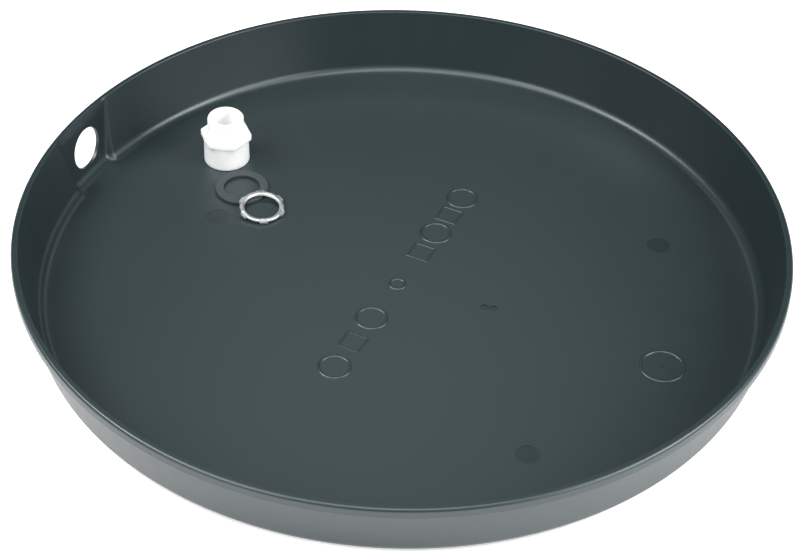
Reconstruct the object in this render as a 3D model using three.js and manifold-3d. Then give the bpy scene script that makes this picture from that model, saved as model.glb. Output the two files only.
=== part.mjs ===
// Round plastic drain pan for a water heater, with its drain fitting, gasket and locknut
// lying loose inside it. Millimetres, +Z up, origin at the centre of the pan's underside,
// drain pad towards -X.

import * as THREE from 'three';
import { mergeVertices } from 'three/addons/utils/BufferGeometryUtils.js';
import Module from 'manifold-3d';

const wasm = await Module();
wasm.setup();

const INCH = 25.4;
const DEGREE = Math.PI / 180;
const GAP = 0.3; // clearance between one piece and the next

// Pan: 24 in across the flat floor, 26 in across the rim, 2 1/2 in deep.
const FLOOR_RADIUS = 12 * INCH;
const RIM_RADIUS = 13 * INCH;
const PAN_HEIGHT = 2.5 * INCH;
const SHEET = 3; // thickness of floor and wall
const CORNER_RADIUS = 9; // inside radius where floor meets wall
const CORNER_STEPS = 4;
const WALL_FLARE = 11.1 * DEGREE;
const COLUMN_STEP = 3.75 * DEGREE;

// Rim: the wall turns out over the top and down again as a short skirt.
const RIM_ROUND = 3;
const SKIRT_BOTTOM = 54.5;
const SKIRT_THICKNESS = 2;

// Drain pad: a flat place in the wall, a little wider at the top, around the drain hole.
const PAD_FLOOR = 308.6; // distance from the axis to where the floor starts to curve up
const PAD_TILT = 4 * DEGREE;
const PAD_TOP = 59.5;
const PAD_HALF_WIDTH = 23.2;
const PAD_HALF_WIDTH_ENDS = 30.2;
const PAD_SPREAD = 0.16; // extra half width for each millimetre of height
const DRAIN_HEIGHT = 32.5;
const DRAIN_RADIUS = 19.5;

// Low relief moulded on the floor.
const RELIEF = 0.8;
const STROKE = 2.6;
const SPOT_RADIUS = 10;
const SPOT_DEPTH = 0.3;
const GATE_DISTANCE = 83.5;
const GATE_HOLLOW_RADIUS = 3.6;
const GATE_HOLLOW_DEPTH = 0.8;

// Drain fitting: 1 in pipe thread above a hexagon, pipe socket below, standing on its socket.
const FITTING_X = -219.1;
const FITTING_Y = 79.4;
const FITTING_HEIGHT = 47.2;
const SOCKET_RADIUS = 20.9;
const SOCKET_BORE_RADIUS = 16.75;
const SOCKET_DEPTH = 22;
const HEX_BOTTOM = 23.6;
const HEX_THICKNESS = 6.4;
const HEX_CORNER_RADIUS = 24;
const HEX_TURN = 17 * DEGREE; // direction of one corner
const THREAD_RADIUS = 16.6;
const FITTING_BORE_RADIUS = 12.6;

// Gasket: flat rubber ring.
const GASKET_X = -184.2;
const GASKET_Y = 45.4;
const GASKET_RADIUS = 24;
const GASKET_HOLE_RADIUS = 16.5;
const GASKET_THICKNESS = 2.5;

// Locknut: stamped ring with lugs that reach a little lower than the ring, one edge resting
// on the gasket.
const NUT_X = -153.2;
const NUT_Y = 26.8;
const NUT_RING_RADIUS = 20;
const NUT_LUG_RADIUS = 21.4;
const NUT_LUG_WIDTH = 7.5;
const NUT_LUG_TOP = 2.5;
const NUT_LUGS = 6;
const NUT_HOLE_RADIUS = 15.7;
const NUT_THICKNESS = 3.3;
const NUT_DISH = 0.8; // height of the ring's underside above the lugs'
const NUT_BEVEL = 1.3;
const NUT_OUTER_BEVEL = 1.1;
const NUT_TURN = 4.5 * DEGREE;

const ROUND_STEPS = 48;
const MARK_STEPS = 24;

function toSolid(geometry) {
  const plain = geometry.clone();
  plain.deleteAttribute('normal');
  plain.deleteAttribute('uv');
  const merged = mergeVertices(plain, 1e-4);
  const vertProperties = new Float32Array(merged.attributes.position.array);
  const triVerts = new Uint32Array(merged.index.array);
  return new wasm.Manifold(new wasm.Mesh({ numProp: 3, vertProperties, triVerts }));
}

function toGeometry(solid) {
  const mesh = solid.getMesh();
  const geometry = new THREE.BufferGeometry();
  geometry.setAttribute('position', new THREE.BufferAttribute(new Float32Array(mesh.vertProperties), 3));
  geometry.setIndex(new THREE.BufferAttribute(new Uint32Array(mesh.triVerts), 1));
  return geometry;
}

function namedMesh(name, solid, look) {
  const geometry = toGeometry(solid).toNonIndexed();
  geometry.computeVertexNormals();
  const mesh = new THREE.Mesh(geometry, new THREE.MeshStandardMaterial(look));
  mesh.name = name;
  return mesh;
}

// Solid of revolution about Z from [radius, height] pairs.
function revolved(outline, steps = ROUND_STEPS) {
  const points = outline.map(([radius, height]) => new THREE.Vector2(radius, height));
  return new THREE.LatheGeometry(points, steps).rotateX(Math.PI / 2);
}

function disc(radius, bottom, top, steps = ROUND_STEPS) {
  return revolved([[0, bottom], [radius, bottom], [radius, top], [0, top]], steps);
}

function ring(inner, outer, bottom, top, steps = ROUND_STEPS) {
  return revolved([[inner, bottom], [outer, bottom], [outer, top], [inner, top], [inner, bottom]], steps);
}

// Section of the curve from floor to wall, then up to the given height, at a distance
// offset below and outside the inner surface.
function wallSection(floorEdge, tilt, top, offset) {
  const radius = CORNER_RADIUS + offset;
  const centreHeight = SHEET + CORNER_RADIUS;
  const points = [];
  for (let step = 0; step <= CORNER_STEPS; step += 1) {
    const angle = (90 * DEGREE - tilt) * (step / CORNER_STEPS);
    points.push([floorEdge + radius * Math.sin(angle), centreHeight - radius * Math.cos(angle)]);
  }
  const [wallStart, startHeight] = points[points.length - 1];
  points.push([wallStart + (top - startHeight) * Math.tan(tilt), top]);
  return points;
}

// Rim section from the inner edge of its top to the ceiling of the groove behind the skirt.
function rimSection() {
  const innerEdge = wallSection(FLOOR_RADIUS, WALL_FLARE, PAN_HEIGHT - 1, 0).at(-1)[0] + 0.8;
  const roundEdge = [90, 60, 30, 0].map((turn) => [
    RIM_RADIUS - RIM_ROUND * (1 - Math.cos(turn * DEGREE)),
    PAN_HEIGHT - RIM_ROUND * (1 - Math.sin(turn * DEGREE)),
  ]);
  const skirtInside = RIM_RADIUS - SKIRT_THICKNESS;
  return [
    [innerEdge, PAN_HEIGHT],
    ...roundEdge,
    [RIM_RADIUS, SKIRT_BOTTOM],
    [skirtInside, SKIRT_BOTTOM],
    [skirtInside, PAN_HEIGHT - SHEET],
  ];
}

function turnedColumn(azimuth) {
  const inner = wallSection(FLOOR_RADIUS, WALL_FLARE, PAN_HEIGHT - 1, 0);
  const outer = wallSection(FLOOR_RADIUS, WALL_FLARE, PAN_HEIGHT - SHEET, SHEET).reverse();
  const section = [...inner, ...rimSection(), ...outer];
  return section.map(([r, z]) => [r * Math.cos(azimuth), r * Math.sin(azimuth), z]);
}

// A column beside or on the drain pad. Its sideways distance from the pad's middle grows with height.
function padColumn(side, halfWidth, isFlat) {
  const floorEdge = isFlat ? PAD_FLOOR : FLOOR_RADIUS;
  const tilt = isFlat ? PAD_TILT : WALL_FLARE;
  const inner = wallSection(floorEdge, tilt, isFlat ? PAD_TOP : PAN_HEIGHT - 1, 0);
  const outer = wallSection(floorEdge, tilt, PAN_HEIGHT - SHEET, SHEET).reverse();
  const place = ([r, z], onPlane) => {
    const y = side * (halfWidth + PAD_SPREAD * z);
    return [onPlane ? -r : -Math.sqrt(r * r - y * y), y, z];
  };
  return [
    ...inner.map((point) => place(point, isFlat)),
    ...rimSection().map((point) => place(point, false)),
    ...outer.map((point) => place(point, isFlat)),
  ];
}

// All columns, anticlockwise from just past the pad, round the pan and across the pad.
function panColumns() {
  const columns = [];
  const turns = Math.round(345 * DEGREE / COLUMN_STEP);
  for (let turn = 0; turn <= turns; turn += 1) {
    columns.push(turnedColumn(-172.5 * DEGREE + turn * COLUMN_STEP));
  }
  columns.push(padColumn(1, PAD_HALF_WIDTH_ENDS, false));
  for (const side of [1, 0.5, 0, -0.5, -1]) {
    columns.push(padColumn(side, PAD_HALF_WIDTH, true));
  }
  columns.push(padColumn(-1, PAD_HALF_WIDTH_ENDS, false));
  return columns;
}

// Closed shell through the columns, with a fan of triangles over the floor and the underside.
function shellGeometry(columns) {
  const rows = columns[0].length;
  const positions = [...columns.flat(2), 0, 0, SHEET, 0, 0, 0];
  const floorCentre = columns.length * rows;
  const baseCentre = floorCentre + 1;
  const index = [];
  columns.forEach((_, column) => {
    const here = column * rows;
    const next = ((column + 1) % columns.length) * rows;
    for (let row = 0; row < rows - 1; row += 1) {
      index.push(here + row, here + row + 1, next + row + 1);
      index.push(here + row, next + row + 1, next + row);
    }
    index.push(floorCentre, here, next);
    index.push(baseCentre, next + rows - 1, here + rows - 1);
  });
  const geometry = new THREE.BufferGeometry();
  geometry.setAttribute('position', new THREE.Float32BufferAttribute(positions, 3));
  geometry.setIndex(index);
  return geometry;
}

// Cutter for the skirt behind the pad, so that a fitting screwed into the hole seats on the wall.
function skirtReliefGeometry() {
  const width = 2 * (PAD_HALF_WIDTH + PAD_SPREAD * PAN_HEIGHT);
  const low = SKIRT_BOTTOM - 2;
  const high = PAN_HEIGHT - SHEET;
  const inside = 325;
  const outside = RIM_RADIUS + 5;
  return new THREE.BoxGeometry(outside - inside, width, high - low)
    .translate(-(inside + outside) / 2, 0, (low + high) / 2);
}

function drainHoleGeometry() {
  return disc(DRAIN_RADIUS, -20, 20)
    .rotateY(90 * DEGREE)
    .translate(-PAD_FLOOR - CORNER_RADIUS, 0, DRAIN_HEIGHT);
}

// Raised outline on the floor with the given number of sides; a square's sides run along X and Y.
function markGeometry(x, y, radius, sides) {
  const outline = ring(radius - STROKE, radius, SHEET - 0.5, SHEET + RELIEF, sides);
  return outline.rotateZ(Math.PI / sides).translate(x, y, 0);
}

// Row of plain outlines across the floor, a ring with a centre dot opposite the drain.
function markGeometries() {
  const row = [[-126, 24], [-92, 4], [-58, 24], [40, 4], [70, 24], [98, 4], [126, 24]];
  const marks = row.map(([y, sides]) => markGeometry(0, y, 14.5, sides));
  marks.push(markGeometry(0, -8, 8, 24));
  marks.push(markGeometry(242, 0, 19.5, 32));
  marks.push(disc(1.2, SHEET - 0.5, SHEET + RELIEF, 8).translate(242, 0, 0));
  return marks;
}

// Shallow round hollows left by the mould's ejector pins.
function spotGeometries() {
  const spots = [[183.5, 180], [234, 38.6], [234, -38.6]];
  return spots.map(([radius, degrees]) => {
    const x = radius * Math.cos(degrees * DEGREE);
    const y = radius * Math.sin(degrees * DEGREE);
    return disc(SPOT_RADIUS, SHEET - SPOT_DEPTH, SHEET + 5, MARK_STEPS).translate(x, y, 0);
  });
}

// Pair of small hollows side by side at the mould's gate.
function gateGeometries() {
  return [-1, 1].map((side) => {
    const x = GATE_DISTANCE + side * (GATE_HOLLOW_RADIUS + 0.2);
    return disc(GATE_HOLLOW_RADIUS, SHEET - GATE_HOLLOW_DEPTH, SHEET + 5, 12).translate(x, side, 0);
  });
}

function panSolid() {
  let solid = toSolid(shellGeometry(panColumns()));
  solid = solid.subtract(toSolid(skirtReliefGeometry()));
  solid = solid.subtract(toSolid(drainHoleGeometry()));
  for (const hollow of [...spotGeometries(), ...gateGeometries()]) {
    solid = solid.subtract(toSolid(hollow));
  }
  for (const mark of markGeometries()) {
    solid = solid.add(toSolid(mark));
  }
  return solid;
}

function fittingSolid() {
  const body = revolved([
    [0, 0],
    [SOCKET_RADIUS - 0.6, 0],
    [SOCKET_RADIUS, 0.6],
    [SOCKET_RADIUS - 0.5, HEX_BOTTOM + 1],
    [THREAD_RADIUS, HEX_BOTTOM + 1],
    [THREAD_RADIUS, FITTING_HEIGHT - 1.2],
    [THREAD_RADIUS - 1.2, FITTING_HEIGHT],
    [0, FITTING_HEIGHT],
  ]);
  // A six-sided disc has its first corner towards -Y, so it is turned from there.
  const hexagon = disc(HEX_CORNER_RADIUS, HEX_BOTTOM, HEX_BOTTOM + HEX_THICKNESS, 6)
    .rotateZ(90 * DEGREE + HEX_TURN);
  const bore = revolved([
    [0, -1],
    [SOCKET_BORE_RADIUS, -1],
    [SOCKET_BORE_RADIUS - 0.3, SOCKET_DEPTH],
    [FITTING_BORE_RADIUS, SOCKET_DEPTH],
    [FITTING_BORE_RADIUS, FITTING_HEIGHT + 1],
    [0, FITTING_HEIGHT + 1],
  ]);
  return toSolid(body)
    .add(toSolid(hexagon))
    .subtract(toSolid(bore))
    .translate([FITTING_X, FITTING_Y, SHEET + GAP]);
}

function gasketSolid() {
  const flatRing = ring(GASKET_HOLE_RADIUS, GASKET_RADIUS, 0, GASKET_THICKNESS);
  return toSolid(flatRing.translate(GASKET_X, GASKET_Y, SHEET + GAP));
}

// Tilt that lets the nut touch the floor on one side and the gasket's edge on the other.
function nutPose() {
  const towards = Math.atan2(GASKET_Y - NUT_Y, GASKET_X - NUT_X);
  const apart = Math.hypot(GASKET_X - NUT_X, GASKET_Y - NUT_Y);
  const span = NUT_LUG_RADIUS + apart - GASKET_RADIUS;
  const tilt = Math.atan2(GASKET_THICKNESS + GAP, span);
  const centreHeight = SHEET + GAP + NUT_LUG_RADIUS * Math.tan(tilt);
  const axis = new THREE.Vector3(Math.sin(towards), -Math.cos(towards), 0);
  const pose = new THREE.Matrix4().makeTranslation(NUT_X, NUT_Y, centreHeight);
  return pose.multiply(new THREE.Matrix4().makeRotationAxis(axis, tilt));
}

function nutSolid() {
  const body = revolved([
    [NUT_HOLE_RADIUS, NUT_DISH],
    [NUT_RING_RADIUS, NUT_DISH],
    [NUT_RING_RADIUS, NUT_THICKNESS - NUT_OUTER_BEVEL],
    [NUT_RING_RADIUS - NUT_OUTER_BEVEL, NUT_THICKNESS],
    [NUT_HOLE_RADIUS + NUT_BEVEL, NUT_THICKNESS],
    [NUT_HOLE_RADIUS, NUT_THICKNESS - NUT_BEVEL],
    [NUT_HOLE_RADIUS, NUT_DISH],
  ]).applyMatrix4(nutPose());
  let solid = toSolid(body);
  const lugInside = NUT_HOLE_RADIUS + NUT_BEVEL + 0.4;
  for (let lug = 0; lug < NUT_LUGS; lug += 1) {
    const box = new THREE.BoxGeometry(NUT_LUG_RADIUS - lugInside, NUT_LUG_WIDTH, NUT_LUG_TOP)
      .translate((NUT_LUG_RADIUS + lugInside) / 2, 0, NUT_LUG_TOP / 2)
      .rotateZ(NUT_TURN + lug * 2 * Math.PI / NUT_LUGS)
      .applyMatrix4(nutPose());
    solid = solid.add(toSolid(box));
  }
  return solid;
}

const assembly = new THREE.Group();
assembly.name = 'water_heater_drain_pan';
assembly.add(namedMesh('pan', panSolid(), { color: 0x2b3538, roughness: 0.45, metalness: 0 }));
assembly.add(namedMesh('drain_adapter', fittingSolid(), { color: 0xf2f3f2, roughness: 0.4, metalness: 0 }));
assembly.add(namedMesh('gasket', gasketSolid(), { color: 0x4c5456, roughness: 0.8, metalness: 0 }));
assembly.add(namedMesh('locknut', nutSolid(), { color: 0xb9bec0, roughness: 0.35, metalness: 1 }));

export default assembly;
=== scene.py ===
from math import atan2, cos, hypot, pi, radians, sin, sqrt, tan

import bpy
from mathutils import Matrix, Vector


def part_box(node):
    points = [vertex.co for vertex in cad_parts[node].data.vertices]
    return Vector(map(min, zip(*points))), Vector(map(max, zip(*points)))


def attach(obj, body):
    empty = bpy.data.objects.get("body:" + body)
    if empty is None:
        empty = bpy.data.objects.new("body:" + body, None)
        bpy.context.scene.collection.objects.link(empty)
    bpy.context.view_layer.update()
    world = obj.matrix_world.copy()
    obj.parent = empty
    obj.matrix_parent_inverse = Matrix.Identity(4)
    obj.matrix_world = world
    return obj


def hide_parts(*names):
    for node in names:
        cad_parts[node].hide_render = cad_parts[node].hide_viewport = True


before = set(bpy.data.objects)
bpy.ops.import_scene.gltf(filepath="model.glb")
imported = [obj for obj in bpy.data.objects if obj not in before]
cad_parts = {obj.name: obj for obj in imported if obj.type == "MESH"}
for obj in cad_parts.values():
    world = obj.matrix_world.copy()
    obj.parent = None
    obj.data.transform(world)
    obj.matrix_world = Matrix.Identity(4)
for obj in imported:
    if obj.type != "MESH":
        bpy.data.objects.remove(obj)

# Looks for a round plastic water heater drain pan, with its drain fitting, gasket and locknut
# lying loose inside it. Lengths are in millimetres until a mesh is made, which is in metres.
# The pan's drain pad faces -X, as in the CAD.

MM = 0.001
INCH = 25.4

# Pan
FLOOR_RADIUS = 12 * INCH
RIM_RADIUS = 13 * INCH
PAN_HEIGHT = 2.5 * INCH
SHEET = 3
CORNER_RADIUS = 9
CORNER_STEPS = 14
WALL_STEPS = 4
WALL_FLARE = radians(11.1)
FLAT_FLOOR_RADII = (100, 200, 290)  # circles that divide the flat floor's mesh
ROUND_SPAN = 345  # degrees of the pan that are plainly round; the drain pad takes the rest
PAN_COLUMNS_PER_DEGREE = 0.8

# Rim and skirt
RIM_ROUND = 3
RIM_ROUND_STEPS = 12
SKIRT_BOTTOM = 54.5
SKIRT_THICKNESS = 2
SKIRT_EDGE_ROUND = 0.6
INNER_EDGE_ROUND = 1.0
INNER_EDGE_SET_BACK = 0.8
ROUND_STEPS = 6

# Drain pad
PAD_FLOOR = 308.6  # from the pan's axis to the foot of the pad
PAD_TILT = radians(4)
PAD_HALF_WIDTH = 23.2  # at the foot of the pad's flat
PAD_HALF_WIDTH_ENDS = 30.2  # where the round wall starts
PAD_SPREAD = 0.16  # widening of each side for each millimetre of height
PAD_TOP_ROUND = 9
PAD_STEPS = 6
SKIRT_CUT_START = 325  # the skirt is cut away behind the pad, from here outwards
CUT_MARGIN = 5
DRAIN_HEIGHT = 32.5
DRAIN_RADIUS = 19.5
DRILL_SIDES = 96
DRILL_OUTSIDE = 30
DRILL_INSIDE = 10

# Low relief and shallow hollows on the floor
RELIEF = 0.8
STROKE = 2.6
MARK_RADIUS = 14.5
SMALL_MARK_RADIUS = 8
RING_DISTANCE = 242
RING_RADIUS = 19.5
RING_DOT_RADIUS = 1.2
SPOT_RADIUS = 10
SPOT_DEPTH = 0.3
GATE_DISTANCE = 83.5
GATE_SPACING = 7.6
GATE_SKEW = 1
GATE_HOLLOW_RADIUS = 3.6
GATE_HOLLOW_DEPTH = 0.8
DISC_SIDES = 48

# Drain fitting
FITTING_HEIGHT = 47.2
SOCKET_RADIUS = 20.9
SOCKET_BORE_RADIUS = 16.75
SOCKET_DEPTH = 22
HEX_BOTTOM = 23.6
HEX_TOP = 30.0
HEX_CORNER_RADIUS = 24
HEX_CORNER_CUT = 0.25
HEX_TURN = radians(17)
THREAD_RADIUS = 16.6
THREAD_DEPTH = 1.2
THREAD_PITCH = 2.209
THREAD_ROW_HEIGHT = 0.16
FITTING_BORE_RADIUS = 12.6
SOCKET_EDGE_ROUND = 0.7
SOCKET_CHAMFER = 0.9
BORE_EDGE_ROUND = 0.5
FITTING_COLUMNS = 192

# Gasket
GASKET_RADIUS = 24
GASKET_HOLE_RADIUS = 16.5
GASKET_THICKNESS = 2.5
GASKET_EDGE_ROUND = 0.45
GASKET_COLUMNS = 128

# Locknut
NUT_RING_RADIUS = 20
NUT_LUG_RADIUS = 21.4
NUT_LUG_TOP = 2.5
NUT_LUG_HALF_ANGLE = radians(10)
NUT_LUG_RAMP = radians(1.2)
NUT_LUGS = 6
NUT_HOLE_RADIUS = 15.7
NUT_THICKNESS = 3.3
NUT_DISH = 0.8
NUT_BEVEL = 1.3
NUT_TURN = radians(4.5)
NUT_THREAD_DEPTH = 0.9
NUT_THREAD_STEPS = 10
NUT_COLUMNS = 360

# Camera, placed in a frame turned so that it looks along its own +Y at the pan's centre.
CAMERA_TURN = radians(25)
CAMERA_DISTANCE = 1.8258
CAMERA_ELEVATION = radians(40.875)
CAMERA_PITCH = radians(40.82)
CAMERA_YAW = radians(-0.05)
CAMERA_ROLL = radians(1.587)
CAMERA_LENS = 94.4
SENSOR_WIDTH = 36

# Stage. Each softbox has a name, a direction (0 is the camera's right, 90 the far side), an
# elevation, a width and a height in metres, and watts. All stand at one distance from the pan.
STAGE_HALF_WIDTH = 9000
STAGE_DROP = 0.2
FLOOR_GLOW = 0.42
LIGHT_DISTANCE = 2
SOFTBOXES = [
    ("left_softbox", 180, 48, 0.8, 0.8, 28),
    ("right_softbox", 348, 38, 0.8, 1.0, 34),
    ("back_softbox", 92, 47, 0.8, 0.6, 1.9),
    ("front_left_softbox", 225, 40, 0.8, 0.8, 18),
    ("front_right_softbox", 318, 25, 0.8, 0.8, 15),
    ("front_softbox", 270, 58, 0.8, 0.8, 9),
    ("overhead_softbox", 270, 80, 1.6, 0.7, 19),
]


# ---------------------------------------------------------------- meshes

def mesh_object(name, points, faces):
    """Object with a mesh of those points, given in millimetres."""
    mesh = bpy.data.meshes.new(name)
    mesh.from_pydata([tuple(MM * value for value in point) for point in points], [], faces)
    mesh.validate()
    piece = bpy.data.objects.new(name, mesh)
    bpy.context.scene.collection.objects.link(piece)
    return piece


def skin(name, rows, capped):
    """Quads through rows of points that each go round anticlockwise, going up on the outside.

    Capped rows are closed at both ends by a fan to the axis; others close on themselves."""
    width = len(rows[0])
    points = [point for row in rows for point in row]
    faces = []
    last = len(rows) - 1
    for row in range(last if capped else last + 1):
        above = (row + 1) % len(rows)
        for column in range(width):
            beside = (column + 1) % width
            faces.append((row * width + column, row * width + beside,
                          above * width + beside, above * width + column))
    if capped:
        for row, order in ((0, -1), (last, 1)):
            centre = len(points)
            points.append((0, 0, rows[row][0][2]))
            for column in range(width):
                pair = (row * width + column, row * width + (column + 1) % width)
                faces.append((centre, *pair[::order]))
    return mesh_object(name, points, faces)


def turned(name, profile, columns, start=0.0):
    """Closed ring about the Z axis. Each entry of the profile is (radius, height), or a
    function of the angle that gives them."""
    rows = []
    for entry in profile:
        row = []
        for column in range(columns):
            angle = start + 2 * pi * column / columns
            radius, height = entry(angle) if callable(entry) else entry
            row.append((radius * cos(angle), radius * sin(angle), height))
        rows.append(row)
    return skin(name, rows, capped=False)


def arc(centre_radius, centre_height, radius, first, last, steps=ROUND_STEPS):
    """Profile points on an arc, with angles in degrees from outwards towards up."""
    points = []
    for step in range(steps + 1):
        angle = radians(first + (last - first) * step / steps)
        points.append((centre_radius + radius * cos(angle), centre_height + radius * sin(angle)))
    return points


def smooth(piece, crease_degrees=32):
    """Smooth shading between creases, with normals that keep flat faces flat."""
    piece.data.shade_smooth()
    piece.data.set_sharp_from_angle(angle=radians(crease_degrees))
    modifier = piece.modifiers.new("flat_faces", "WEIGHTED_NORMAL")
    modifier.keep_sharp = True


def bake_modifiers(piece):
    """Turns the modifiers' result into the piece's own mesh."""
    graph = bpy.context.evaluated_depsgraph_get()
    baked = bpy.data.meshes.new_from_object(piece.evaluated_get(graph))
    piece.modifiers.clear()
    piece.data = baked


def join(pieces):
    with bpy.context.temp_override(active_object=pieces[0], selected_editable_objects=pieces):
        bpy.ops.object.join()
    return pieces[0]


def cut(piece, tools):
    """Cuts the tools out of the piece, all in one go."""
    tool = join(tools)
    modifier = piece.modifiers.new("cut", "BOOLEAN")
    modifier.operation = "DIFFERENCE"
    modifier.solver = "EXACT"
    modifier.object = tool
    bake_modifiers(piece)
    bpy.data.objects.remove(tool)


# ---------------------------------------------------------------- pan

def wall_curve(floor_edge, tilt, top, offset):
    """Corner and wall from the floor's edge up, a distance offset outside the inner surface."""
    radius = CORNER_RADIUS + offset
    centre_height = SHEET + CORNER_RADIUS
    points = []
    for step in range(CORNER_STEPS + 1):
        angle = (pi / 2 - tilt) * step / CORNER_STEPS
        points.append((floor_edge + radius * sin(angle), centre_height - radius * cos(angle)))
    foot, low = points[-1]
    for step in range(1, WALL_STEPS + 1):
        height = low + (top - low) * step / WALL_STEPS
        points.append((foot + (height - low) * tan(tilt), height))
    return points


def edge_curve(wall_top, corner, rim_edge):
    """Rounds the wall's top over to the rim's flat top, about the corner where they would meet."""
    points = []
    for step in range(1, ROUND_STEPS + 1):
        t = step / ROUND_STEPS
        points.append(tuple((1 - t) ** 2 * a + 2 * t * (1 - t) * b + t ** 2 * c
                            for a, b, c in zip(wall_top, corner, rim_edge)))
    return points


def inside_curve(floor_edge, tilt, edge_round, rim_edge):
    """From the rim's inner edge down the wall to the floor."""
    wall = wall_curve(floor_edge, tilt, PAN_HEIGHT - edge_round, 0)
    foot, low = wall[CORNER_STEPS]
    corner = (foot + (PAN_HEIGHT - low) * tan(tilt), PAN_HEIGHT)
    return (wall + edge_curve(wall[-1], corner, (rim_edge, PAN_HEIGHT)))[::-1]


def rim_edge_radius():
    """Radius where the rim's flat top begins, a little outside the wall's own line."""
    foot, low = wall_curve(FLOOR_RADIUS, WALL_FLARE, PAN_HEIGHT, 0)[CORNER_STEPS]
    return foot + (PAN_HEIGHT - low) * tan(WALL_FLARE) + INNER_EDGE_SET_BACK


def outside_curve(floor_edge, tilt):
    """From the underside's edge up to the ceiling of the groove behind the skirt."""
    return wall_curve(floor_edge, tilt, PAN_HEIGHT - SHEET, SHEET)


def skirt_curve():
    """From the groove's ceiling down inside the skirt, round its edge and up over the rim."""
    inside = RIM_RADIUS - SKIRT_THICKNESS
    low = SKIRT_BOTTOM + SKIRT_EDGE_ROUND
    high = PAN_HEIGHT - RIM_ROUND
    return [
        (inside, PAN_HEIGHT - SHEET),
        *arc(inside + SKIRT_EDGE_ROUND, low, SKIRT_EDGE_ROUND, 180, 270),
        *arc(RIM_RADIUS - SKIRT_EDGE_ROUND, low, SKIRT_EDGE_ROUND, 270, 360),
        *arc(RIM_RADIUS - RIM_ROUND, high, RIM_ROUND, 0, 90, RIM_ROUND_STEPS),
    ]


def pan_section(floor_edge, tilt, edge_round):
    """Whole section as (radius, height, follows the pad's plane), underside to floor."""
    flat = [(radius, 0, False) for radius in FLAT_FLOOR_RADII]
    flat.append((floor_edge - 1, 0, True))
    outside = [(r, z, True) for r, z in outside_curve(floor_edge, tilt)]
    skirt = [(r, z, False) for r, z in skirt_curve()]
    inside = inside_curve(floor_edge, tilt, edge_round, rim_edge_radius())
    inside = [(r, z, z < PAN_HEIGHT) for r, z in inside]
    floor = [(r, SHEET, follows) for r, _, follows in flat[::-1]]
    return flat + outside + skirt + inside + floor


def turned_column(section, azimuth):
    """Column of the plainly round part."""
    return [(r * cos(azimuth), r * sin(azimuth), z) for r, z, _ in section]


def pad_column(round_section, flat_section, side, share):
    """Column on or beside the pad. Share is 0 on the pad's flat and 1 where the round wall starts."""
    ease = share * share * (3 - 2 * share)
    half = PAD_HALF_WIDTH + share * (PAD_HALF_WIDTH_ENDS - PAD_HALF_WIDTH)
    column = []
    for (round_r, round_z, follows), (flat_r, flat_z, _) in zip(round_section, flat_section):
        z = round_z * ease + flat_z * (1 - ease)
        y = side * (half + PAD_SPREAD * z) * min(1, round_r / FLOOR_RADIUS)
        x = sqrt(round_r ** 2 - y ** 2)
        if follows:
            x = x * ease + flat_r * (1 - ease)
        column.append((-x, y, z))
    return column


def pan_columns():
    """Columns of the whole shell, once round the axis, with the drain pad's last."""
    round_section = pan_section(FLOOR_RADIUS, WALL_FLARE, INNER_EDGE_ROUND)
    flat_section = pan_section(PAD_FLOOR, PAD_TILT, PAD_TOP_ROUND)
    turns = round(ROUND_SPAN * PAN_COLUMNS_PER_DEGREE)
    columns = [turned_column(round_section, radians(ROUND_SPAN * (turn / turns - 0.5)))
               for turn in range(turns + 1)]
    shares = [step / PAD_STEPS for step in range(PAD_STEPS, 0, -1)]
    across = [1 - step / PAD_STEPS for step in range(2 * PAD_STEPS + 1)]
    columns += [pad_column(round_section, flat_section, 1, share) for share in shares]
    columns += [pad_column(round_section, flat_section, side, 0) for side in across]
    columns += [pad_column(round_section, flat_section, -1, share) for share in shares[::-1]]
    return columns


def round_mark(x, y, radius, sides):
    """Raised outline with a rounded ridge, sunk a little into the floor; squares lie along X and Y."""
    middle = radius - STROKE / 2
    ridge = [(0.5, -0.4), (0.5, 0.1), (0.28, 0.8 * RELIEF), (0, RELIEF), (-0.28, 0.8 * RELIEF),
             (-0.5, 0.1), (-0.5, -0.4)]
    profile = [(middle + STROKE * across, SHEET + up) for across, up in ridge]
    mark = turned("mark", profile, sides, start=pi / sides)
    mark.data.transform(Matrix.Translation((x * MM, y * MM, 0)))
    return mark


def puck(x, y, radius, low, high, edge):
    """Low round disc with a rounded upper edge, closed all round."""
    rows = []
    for share, level in ((1, low), (1, high - edge), (1 - 0.3 * edge / radius, high - 0.3 * edge),
                         (1 - edge / radius, high)):
        turns = [2 * pi * step / DISC_SIDES for step in range(DISC_SIDES)]
        rows.append([(x + radius * share * cos(turn), y + radius * share * sin(turn), level)
                     for turn in turns])
    piece = skin("puck", rows, capped=True)
    for vertex in piece.data.vertices[-2:]:
        vertex.co.x, vertex.co.y = x * MM, y * MM
    return piece


def floor_marks():
    """Row of plain outlines across the floor, and a ring with a centre dot opposite the drain."""
    row = [(-126, 48), (-92, 4), (-58, 48), (40, 4), (70, 48), (98, 4), (126, 48)]
    marks = [round_mark(0, y, MARK_RADIUS, sides) for y, sides in row]
    marks.append(round_mark(0, -8, SMALL_MARK_RADIUS, 32))
    marks.append(round_mark(RING_DISTANCE, 0, RING_RADIUS, 64))
    marks.append(puck(RING_DISTANCE, 0, RING_DOT_RADIUS, SHEET - 0.3, SHEET + RELIEF, 0.4))
    return marks


def hollows():
    """Shallow round hollows left by the mould's ejector pins, and a pair of small ones at its gate."""
    places = [(183.5, 180), (234, 38.6), (234, -38.6)]
    top = SHEET + CUT_MARGIN
    spots = [puck(distance * cos(radians(turn)), distance * sin(radians(turn)), SPOT_RADIUS,
                  SHEET - SPOT_DEPTH, top, 0.1) for distance, turn in places]
    gate = [puck(GATE_DISTANCE + side * GATE_SPACING / 2, side * GATE_SKEW, GATE_HOLLOW_RADIUS,
                 SHEET - GATE_HOLLOW_DEPTH, top, 0.1) for side in (-1, 1)]
    return spots + gate


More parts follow.
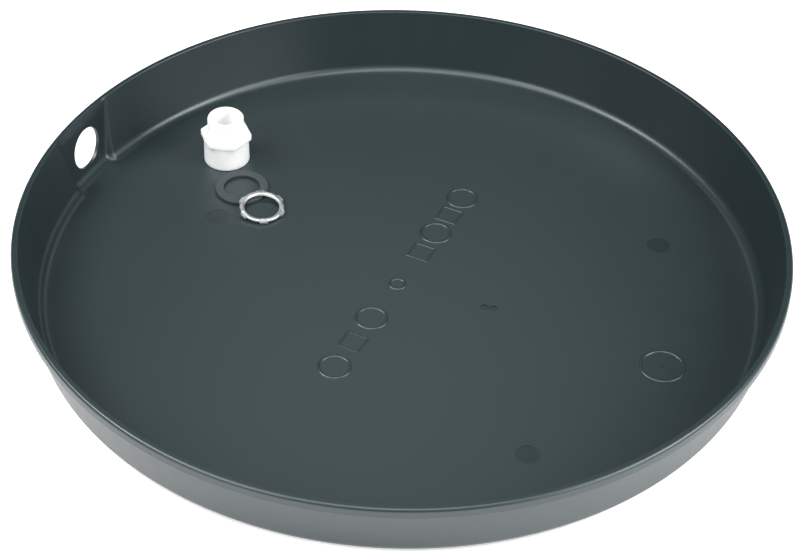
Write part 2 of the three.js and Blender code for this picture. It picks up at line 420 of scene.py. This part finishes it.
def block(low, high):
    """Box between two corners, in millimetres."""
    points = [(x, y, z) for x in (low[0], high[0]) for y in (low[1], high[1]) for z in (low[2], high[2])]
    faces = [(0, 1, 3, 2), (4, 6, 7, 5), (0, 4, 5, 1), (2, 3, 7, 6), (0, 2, 6, 4), (1, 5, 7, 3)]
    return mesh_object("block", points, faces)


def drain_drill():
    """Round cutter along X, through the pad's wall."""
    count = DRILL_SIDES
    turns = [2 * pi * step / count for step in range(count)]
    points = [(x, DRAIN_RADIUS * cos(turn), DRAIN_HEIGHT + DRAIN_RADIUS * sin(turn))
              for x in (-PAD_FLOOR - DRILL_OUTSIDE, -PAD_FLOOR + DRILL_INSIDE) for turn in turns]
    faces = [(step, (step + 1) % count, count + (step + 1) % count, count + step)[::-1]
             for step in range(count)]
    faces += [tuple(range(count))[::-1], tuple(range(count, 2 * count))]
    return mesh_object("drill", points, faces)


def make_pan():
    columns = pan_columns()
    rows = [list(row) for row in zip(*columns)]
    pan = skin("pan_shell", rows, capped=True)
    half = PAD_HALF_WIDTH + PAD_SPREAD * PAN_HEIGHT
    skirt_cut = block((-RIM_RADIUS - CUT_MARGIN, -half, SKIRT_BOTTOM - 2),
                      (-SKIRT_CUT_START, half, PAN_HEIGHT - SHEET))
    cut(pan, [skirt_cut, drain_drill(), *hollows()])
    join([pan, *floor_marks()])
    smooth(pan)
    return pan


# ---------------------------------------------------------------- loose pieces

def at_cad_place(piece, node, base_height):
    """Moves a piece made about the Z axis to where its CAD node stands."""
    low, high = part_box(node)
    middle = (low + high) / 2
    piece.data.transform(Matrix.Translation((middle.x, middle.y, base_height)))
    return piece


def hex_radius(angle, flat_share):
    """Radius of a hexagon with softened corners; a smaller share draws the whole outline in."""
    flat = HEX_CORNER_RADIUS * cos(pi / 6)
    from_flat = (angle - HEX_TURN) % (pi / 3) - pi / 6
    radius = min(flat / cos(from_flat), HEX_CORNER_RADIUS - HEX_CORNER_CUT)
    return radius * flat_share


def hex_row(height, inset):
    """Row round the hexagon, drawn in by the inset at its corners."""
    return lambda angle: (hex_radius(angle, 1 - inset / HEX_CORNER_RADIUS), height)


def thread_row(height, low, high):
    """Row of an outside thread whose crest winds up one pitch for each turn."""
    def at(angle):
        phase = ((height - THREAD_PITCH * angle / (2 * pi)) / THREAD_PITCH) % 1
        groove = min(1, max(0, abs(phase - 0.5) * 2.6 - 0.3))
        fade = min(1, max(0, (height - low) / 1.5), max(0, (high - height) / 0.8))
        return (THREAD_RADIUS - THREAD_DEPTH * (groove * fade + (1 - fade)), height)
    return at


def make_fitting():
    low = HEX_TOP + 0.4
    high = FITTING_HEIGHT - 0.6
    steps = round((high - low) / THREAD_ROW_HEIGHT)
    thread = [thread_row(low + (high - low) * step / steps, low, high) for step in range(steps + 1)]
    profile = [
        (SOCKET_BORE_RADIUS + SOCKET_CHAMFER, 0),
        *arc(SOCKET_RADIUS - SOCKET_EDGE_ROUND, SOCKET_EDGE_ROUND, SOCKET_EDGE_ROUND, 270, 360),
        (SOCKET_RADIUS - 0.35, HEX_BOTTOM - 1.2),
        (SOCKET_RADIUS - 0.1, HEX_BOTTOM - 0.4),
        (SOCKET_RADIUS + 0.4, HEX_BOTTOM - 0.02),
        hex_row(HEX_BOTTOM, 0.8),
        hex_row(HEX_BOTTOM + 0.12, 0.35),
        hex_row(HEX_BOTTOM + 0.5, 0),
        hex_row(HEX_TOP - 0.6, 0),
        hex_row(HEX_TOP - 0.15, 0.4),
        hex_row(HEX_TOP, 1.0),
        (THREAD_RADIUS + 0.5, HEX_TOP),
        (THREAD_RADIUS - 0.8, HEX_TOP + 0.15),
        *thread,
        (THREAD_RADIUS - THREAD_DEPTH - 0.5, FITTING_HEIGHT),
        *arc(FITTING_BORE_RADIUS + BORE_EDGE_ROUND, FITTING_HEIGHT - BORE_EDGE_ROUND, BORE_EDGE_ROUND,
             90, 180),
        (FITTING_BORE_RADIUS, SOCKET_DEPTH + 0.3),
        (FITTING_BORE_RADIUS + 0.3, SOCKET_DEPTH),
        (SOCKET_BORE_RADIUS - 0.6, SOCKET_DEPTH),
        (SOCKET_BORE_RADIUS - 0.3, SOCKET_DEPTH - 0.3),
        (SOCKET_BORE_RADIUS, SOCKET_CHAMFER),
    ]
    fitting = turned("drain_fitting", profile, FITTING_COLUMNS, start=HEX_TURN)
    smooth(fitting)
    return at_cad_place(fitting, "drain_adapter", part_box("drain_adapter")[0].z)


def make_gasket():
    edge = GASKET_EDGE_ROUND
    profile = [
        *arc(GASKET_RADIUS - edge, edge, edge, 270, 360),
        *arc(GASKET_RADIUS - edge, GASKET_THICKNESS - edge, edge, 0, 90),
        *arc(GASKET_HOLE_RADIUS + edge, GASKET_THICKNESS - edge, edge, 90, 180),
        *arc(GASKET_HOLE_RADIUS + edge, edge, edge, 180, 270),
    ]
    gasket = turned("gasket_ring", profile, GASKET_COLUMNS)
    smooth(gasket)
    return at_cad_place(gasket, "gasket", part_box("gasket")[0].z)


def lug_share(angle):
    """1 on a lug, 0 between two lugs, with a short ramp at each side."""
    pitch = 2 * pi / NUT_LUGS
    from_lug = abs((angle - NUT_TURN + pitch / 2) % pitch - pitch / 2)
    share = (NUT_LUG_HALF_ANGLE + NUT_LUG_RAMP - from_lug) / NUT_LUG_RAMP
    return min(1, max(0, share))


def nut_row(ring_point, lug_point):
    """Row that goes round the ring and steps out and down over each lug."""
    def at(angle):
        share = lug_share(angle)
        return tuple(a + (b - a) * share for a, b in zip(ring_point, lug_point))
    return at


def nut_thread_row(height, low, high):
    """Row of the inside thread, with a V groove that fades out at both ends."""
    def at(angle):
        phase = ((height - THREAD_PITCH * angle / (2 * pi)) / THREAD_PITCH) % 1
        fade = min(1, max(0, (height - low) / 0.3), max(0, (high - height) / 0.3))
        return (NUT_HOLE_RADIUS + NUT_THREAD_DEPTH * abs(phase - 0.5) * 2 * fade, height)
    return at


def nut_pose():
    """Place of the nut as it lies, one edge on the floor and the other on the gasket's edge."""
    nut, gasket = (sum(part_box(node), Vector()) / 2 for node in ("locknut", "gasket"))
    towards = gasket - nut
    apart = hypot(towards.x, towards.y) / MM
    span = NUT_LUG_RADIUS + apart - GASKET_RADIUS
    tilt = atan2(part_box("gasket")[1].z / MM - SHEET, span)
    turn = atan2(towards.y, towards.x)
    centre_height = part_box("gasket")[0].z + NUT_LUG_RADIUS * MM * tan(tilt)
    axis = Vector((sin(turn), -cos(turn), 0))
    return Matrix.Translation((nut.x, nut.y, centre_height)) @ Matrix.Rotation(tilt, 4, axis)


def make_nut():
    top = NUT_THICKNESS
    ring = NUT_RING_RADIUS
    lug = NUT_LUG_RADIUS
    hole = NUT_HOLE_RADIUS
    bore_top = top - NUT_BEVEL
    bore_low = NUT_DISH + 0.25
    drop = (bore_low - bore_top) / NUT_THREAD_STEPS
    bore = [nut_thread_row(bore_top + drop * step, bore_low, bore_top)
            for step in range(NUT_THREAD_STEPS + 1)]
    profile = [
        (hole + 0.3, NUT_DISH),
        (ring - 1.8, NUT_DISH),
        nut_row((ring - 0.3, NUT_DISH), (lug - 0.4, 0)),
        nut_row((ring, NUT_DISH + 0.3), (lug, 0.35)),
        nut_row((ring, top - 1.3), (lug, NUT_LUG_TOP - 0.4)),
        nut_row((ring - 0.14, top - 0.85), (lug - 0.15, NUT_LUG_TOP - 0.12)),
        nut_row((ring - 0.5, top - 0.42), (lug - 0.5, NUT_LUG_TOP)),
        nut_row((ring - 1.0, top - 0.13), (ring - 0.6, NUT_LUG_TOP)),
        nut_row((ring - 1.5, top), (ring - 1.0, top - 0.5)),
        (hole + NUT_BEVEL + 0.4, top),
        (hole + NUT_BEVEL, top - 0.08),
        (hole + NUT_BEVEL - 0.45, top - 0.32),
        (hole + 0.35, top - 0.8),
        *bore,
    ]
    nut = turned("lock_nut", profile, NUT_COLUMNS)
    nut.data.transform(nut_pose())
    smooth(nut, crease_degrees=40)
    return nut


# ---------------------------------------------------------------- materials

class Recipe:
    """A material's node tree, with short calls for the nodes that the materials below share."""

    def __init__(self, name):
        self.material = bpy.data.materials.new(name)
        self.material.use_nodes = True
        self.tree = self.material.node_tree
        self.shader = self.tree.nodes["Principled BSDF"]
        self.place = self.tree.nodes.new("ShaderNodeTexCoord").outputs["Object"]

    def node(self, kind, **settings):
        made = self.tree.nodes.new("ShaderNode" + kind)
        for key, value in settings.items():
            setattr(made, key, value)
        return made

    def link(self, source, target):
        self.tree.links.new(source, target)

    def noise(self, scale, detail=3, roughness=0.5, place=None):
        made = self.node("TexNoise")
        made.inputs["Scale"].default_value = scale
        made.inputs["Detail"].default_value = detail
        made.inputs["Roughness"].default_value = roughness
        self.link(place or self.place, made.inputs["Vector"])
        return made.outputs["Fac"]

    def stretched(self, scale):
        made = self.node("Mapping")
        made.inputs["Scale"].default_value = scale
        self.link(self.place, made.inputs["Vector"])
        return made.outputs["Vector"]

    def spread(self, value, low, high, start=0.3, end=0.7):
        made = self.node("MapRange")
        for key, number in (("From Min", start), ("From Max", end), ("To Min", low), ("To Max", high)):
            made.inputs[key].default_value = number
        self.link(value, made.inputs["Value"])
        return made.outputs["Result"]

    def sum(self, first, second, operation="ADD"):
        made = self.node("Math", operation=operation)
        self.link(first, made.inputs[0])
        self.link(second, made.inputs[1])
        return made.outputs["Value"]

    def mix(self, factor, first, second):
        made = self.node("Mix", data_type="RGBA")
        self.link(factor, made.inputs["Factor"])
        for socket, colour in (("A", first), ("B", second)):
            target = next(s for s in made.inputs if s.name == socket and s.type == "RGBA")
            if isinstance(colour, tuple):
                target.default_value = (*colour, 1)
            else:
                self.link(colour, target)
        return next(s for s in made.outputs if s.type == "RGBA")

    def bump(self, height, strength, distance, below=None):
        made = self.node("Bump")
        made.inputs["Strength"].default_value = strength
        made.inputs["Distance"].default_value = distance
        self.link(height, made.inputs["Height"])
        if below:
            self.link(below, made.inputs["Normal"])
        return made.outputs["Normal"]

    def finish(self, colour, roughness, normal, **constants):
        self.link(colour, self.shader.inputs["Base Color"])
        self.link(roughness, self.shader.inputs["Roughness"])
        self.link(normal, self.shader.inputs["Normal"])
        for key, value in constants.items():
            self.shader.inputs[key.replace("_", " ")].default_value = value
        return self.material


def flow_coordinates(recipe):
    """Angle and distance about the pan's axis, for marks that run out from the middle."""
    parts = recipe.node("SeparateXYZ")
    recipe.link(recipe.place, parts.inputs["Vector"])
    turn = recipe.sum(parts.outputs["Y"], parts.outputs["X"], "ARCTAN2")
    distance = recipe.node("VectorMath", operation="LENGTH")
    recipe.link(recipe.place, distance.inputs[0])
    joined = recipe.node("CombineXYZ")
    recipe.link(turn, joined.inputs["X"])
    recipe.link(distance.outputs["Value"], joined.inputs["Y"])
    stretch = recipe.node("Mapping")
    stretch.inputs["Scale"].default_value = (14, 1.5, 1)
    recipe.link(joined.outputs["Vector"], stretch.inputs["Vector"])
    return stretch.outputs["Vector"]


def painted_hollow_shade_mask(recipe):
    """1 in the shallow hollows of the floor, 0 elsewhere, where the colour is darkened as painted shade.
    """
    parts = recipe.node("SeparateXYZ")
    recipe.link(recipe.place, parts.inputs["Vector"])
    distance = recipe.node("VectorMath", operation="LENGTH")
    recipe.link(recipe.place, distance.inputs[0])
    below_floor = recipe.spread(parts.outputs["Z"], 1, 0, (SHEET - 0.25) * MM, (SHEET - 0.05) * MM)
    above_base = recipe.spread(parts.outputs["Z"], 0, 1, 1 * MM, 2 * MM)
    on_floor = recipe.spread(distance.outputs["Value"], 1, 0, 290 * MM, 295 * MM)
    both = recipe.sum(below_floor, above_base, "MULTIPLY")
    return recipe.sum(both, on_floor, "MULTIPLY")


def pan_plastic():
    """Dark moulded plastic: fine grain, faint flow lines from the middle, light scuffs, and painted
    shade darkening the floor's shallow hollows.
    """
    recipe = Recipe("pan_plastic")
    blotch = recipe.noise(9, 4)
    flow = recipe.noise(2.2, 5, 0.6, flow_coordinates(recipe))
    grain = recipe.noise(900, 2)
    scuffs = recipe.noise(26, 8, 0.75, recipe.stretched((1, 5, 1)))
    tone = recipe.sum(recipe.spread(blotch, 0, 0.5), recipe.spread(flow, 0, 0.5))
    colour = recipe.mix(tone, (0.013, 0.022, 0.024), (0.0155, 0.025, 0.027))
    colour = recipe.mix(recipe.spread(scuffs, 0, 0.3, 0.62, 0.8), colour, (0.026, 0.038, 0.040))
    # painted shade: the colour is made darker inside the floor's shallow hollows, in place of their
    # shading
    colour = recipe.mix(painted_hollow_shade_mask(recipe), colour, (0.0095, 0.0165, 0.0185))
    roughness = recipe.sum(recipe.spread(blotch, 0.32, 0.36), recipe.spread(flow, 0, 0.03))
    normal = recipe.bump(grain, 0.12, 0.0001)
    normal = recipe.bump(blotch, 0.2, 0.0006, normal)
    return recipe.finish(colour, roughness, normal, IOR=1.58, Specular_Tint=(0.9, 0.97, 1, 1))


def white_pvc():
    """White rigid PVC: nearly even, with a little mottle and a fine moulded surface."""
    recipe = Recipe("white_pvc")
    mottle = recipe.noise(60, 4)
    grain = recipe.noise(1800, 2)
    colour = recipe.mix(recipe.spread(mottle, 0, 1), (0.96, 0.97, 0.965), (0.985, 0.99, 0.985))
    roughness = recipe.spread(mottle, 0.3, 0.42)
    normal = recipe.bump(grain, 0.08, 0.00008)
    return recipe.finish(colour, roughness, normal, Subsurface_Weight=1.0,
                         Subsurface_Radius=(1, 1, 1), Subsurface_Scale=0.006, IOR=1.54)


def gasket_rubber():
    """Grey-black rubber with a fine pebbled skin and dusty patches."""
    recipe = Recipe("gasket_rubber")
    dust = recipe.noise(180, 5, 0.6)
    pebble = recipe.noise(2400, 2)
    colour = recipe.mix(recipe.spread(dust, 0, 1), (0.024, 0.034, 0.036), (0.033, 0.044, 0.046))
    roughness = recipe.spread(dust, 0.6, 0.78)
    normal = recipe.bump(pebble, 0.3, 0.00012)
    return recipe.finish(colour, roughness, normal, IOR=1.5)


def zinc_plate():
    """Bright zinc over stamped steel: tumbled, cloudy, with small dull spots."""
    recipe = Recipe("zinc_plate")
    cloud = recipe.noise(220, 5, 0.65)
    dents = recipe.noise(700, 3)
    colour = recipe.mix(recipe.spread(cloud, 0, 1), (0.40, 0.43, 0.44), (0.60, 0.62, 0.62))
    roughness = recipe.spread(cloud, 0.46, 0.6)
    normal = recipe.bump(dents, 0.25, 0.00015)
    return recipe.finish(colour, roughness, normal, Metallic=1.0)


def dress(piece, material, body, node):
    """Gives the piece its material and its place among the CAD nodes and bodies."""
    piece.data.materials.clear()
    piece.data.materials.append(material)
    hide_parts(node)
    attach(piece, body)


# ---------------------------------------------------------------- stage

def pale_floor():
    """Nearly even pale grey that glows, to lift the shadow under the pan."""
    recipe = Recipe("studio_floor")
    mottle = recipe.noise(3, 2)
    colour = recipe.mix(recipe.spread(mottle, 0, 1), (0.88, 0.88, 0.88), (0.9, 0.9, 0.9))
    roughness = recipe.spread(mottle, 0.8, 0.85)
    normal = recipe.bump(mottle, 0.01, 0.001)
    return recipe.finish(colour, roughness, normal, Emission_Color=(1, 1, 1, 1),
                         Emission_Strength=FLOOR_GLOW)


def make_floor():
    corners = [(x * STAGE_HALF_WIDTH, y * STAGE_HALF_WIDTH, -STAGE_DROP)
               for x, y in ((-1, -1), (1, -1), (1, 1), (-1, 1))]
    floor = mesh_object("studio_floor", corners, [(0, 1, 2, 3)])
    floor.data.materials.append(pale_floor())


def camera_side(x, y, z):
    """Turns a place given with the camera on -Y into the pan's frame."""
    return Matrix.Rotation(CAMERA_TURN, 3, "Z") @ Vector((x, y, z))


def softbox(name, direction, elevation, width, height, watts):
    """Rectangular light aimed at the pan's centre."""
    light = bpy.data.lights.new(name, "AREA")
    light.shape = "RECTANGLE"
    light.size = width
    light.size_y = height
    light.energy = watts
    lamp = bpy.data.objects.new(name, light)
    turn = radians(direction)
    tilt = radians(elevation)
    lamp.location = LIGHT_DISTANCE * camera_side(cos(turn) * cos(tilt), sin(turn) * cos(tilt), sin(tilt))
    lamp.rotation_euler = (-lamp.location).to_track_quat("-Z", "Y").to_euler()
    bpy.context.scene.collection.objects.link(lamp)


def make_lights():
    for settings in SOFTBOXES:
        softbox(*settings)
    world = bpy.data.worlds.new("studio")
    world.use_nodes = True
    world.node_tree.nodes["Background"].inputs["Strength"].default_value = 0
    bpy.context.scene.world = world


def make_camera():
    data = bpy.data.cameras.new("camera")
    data.lens = CAMERA_LENS
    data.sensor_width = SENSOR_WIDTH
    camera = bpy.data.objects.new("camera", data)
    place = CAMERA_DISTANCE * camera_side(0, -cos(CAMERA_ELEVATION), sin(CAMERA_ELEVATION))
    forward = camera_side(sin(CAMERA_YAW) * cos(CAMERA_PITCH), cos(CAMERA_YAW) * cos(CAMERA_PITCH),
                          -sin(CAMERA_PITCH))
    level = camera_side(cos(CAMERA_YAW), -sin(CAMERA_YAW), 0)
    up = level.cross(forward)
    right = level * cos(CAMERA_ROLL) + up * sin(CAMERA_ROLL)
    up = up * cos(CAMERA_ROLL) - level * sin(CAMERA_ROLL)
    axes = Matrix((right, up, -forward)).transposed().to_4x4()
    camera.matrix_world = Matrix.Translation(place) @ axes
    bpy.context.scene.collection.objects.link(camera)
    bpy.context.scene.camera = camera


# ---------------------------------------------------------------- scene

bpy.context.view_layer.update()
make_camera()
make_lights()
make_floor()
dress(make_pan(), pan_plastic(), "pan", "pan")
dress(make_fitting(), white_pvc(), "drain_adapter", "drain_adapter")
dress(make_gasket(), gasket_rubber(), "gasket", "gasket")
dress(make_nut(), zinc_plate(), "locknut", "locknut")
bpy.context.scene.view_settings.view_transform = "Standard"
